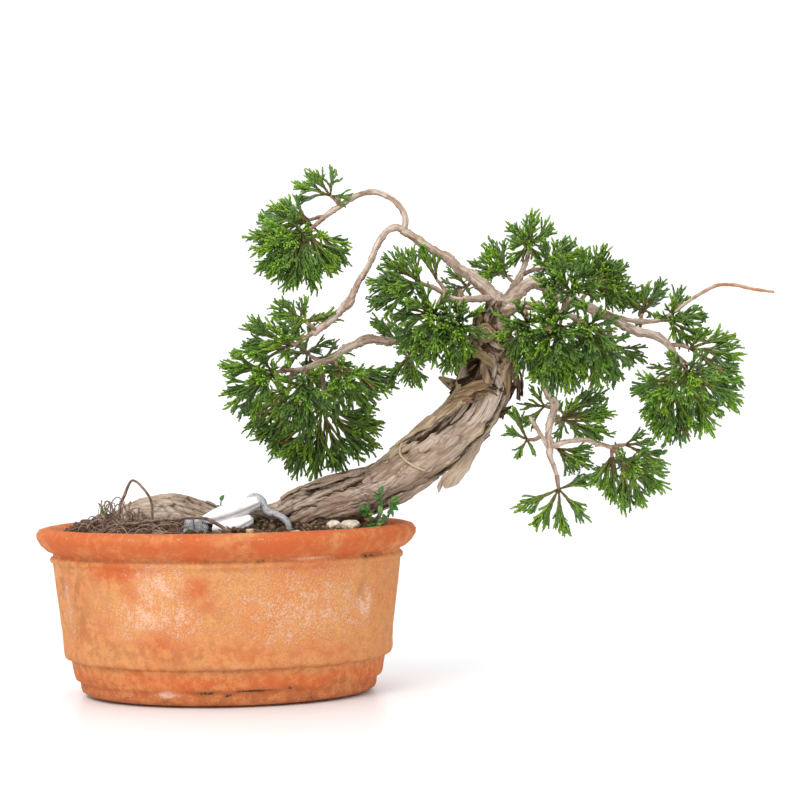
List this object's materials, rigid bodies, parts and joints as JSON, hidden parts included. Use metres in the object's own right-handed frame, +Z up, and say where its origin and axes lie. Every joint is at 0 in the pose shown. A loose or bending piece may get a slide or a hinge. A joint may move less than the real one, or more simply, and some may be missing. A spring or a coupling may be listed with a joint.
{
  "type": "savin juniper bonsai",
  "caption": "Potted juniper bonsai: a half-buried trunk leaning far over the rim of an oval terracotta pot, with thin drooping limbs and pads of cord-like foliage.",
  "frame": {"origin": "middle of the pot's flat underside", "axes": "+Z up, +X towards the side that the trunk leans to and along the pot's long axis, -Y towards the viewer"},
  "size_m": [0.4291, 0.17, 0.301],
  "materials": {
    "terracotta": "unglazed fired clay with pale bloom and stains",
    "soil": "dark damp potting soil with grit",
    "bark": "shaggy fibrous grey-brown bark",
    "foliage": "waxy green scale leaves",
    "deadwood": "bleached bare wood, white and matt",
    "wire": "dull weathered aluminium",
    "root": "dry brown root",
    "stone": "pale worn grit",
    "weed": "soft fresh green leaves"
  },
  "bodies": {
    "root": {"pot": "terracotta", "soil": "soil", "trunk": "bark", "deadwood": "deadwood", "wire": "wire", "root_arched": "root", "root_long": "root", "root_looped": "root", "pebble_beige": "stone", "pebble_white_left": "stone", "pebble_white_right": "stone", "pebble_flat": "stone", "pebble_yellow": "stone", "bark_chunk": "bark", "bark_shard": "bark", "weed_right": "weed", "weed_middle": "weed", "weed_left": "weed", "spray_a1": "foliage", "spray_a2": "foliage", "spray_a3": "foliage", "spray_a4": "foliage", "spray_b1": "foliage", "spray_b2": "foliage", "spray_b3": "foliage", "spray_b4": "foliage", "spray_b5": "foliage", "spray_b6": "foliage", "spray_b7": "foliage", "spray_b8": "foliage", "spray_c1": "foliage", "spray_c2": "foliage", "spray_c3": "foliage", "spray_c4": "foliage", "spray_c5": "foliage", "spray_c6": "foliage", "spray_d1": "foliage", "spray_d2": "foliage", "spray_d3": "foliage", "spray_e1": "foliage", "spray_e2": "foliage", "spray_e3": "foliage", "spray_e4": "foliage", "spray_e5": "foliage", "spray_e6": "foliage", "spray_e7": "foliage", "spray_f1": "foliage", "spray_f2": "foliage", "spray_g1": "foliage", "spray_g2": "foliage", "spray_g3": "foliage", "spray_g4": "foliage", "spray_h1": "foliage", "spray_h2": "foliage", "spray_h3": "foliage", "spray_h4": "foliage", "spray_h5": "foliage", "spray_i1": "foliage", "spray_i2": "foliage", "spray_i3": "foliage"}
  },
  "joints": []
}
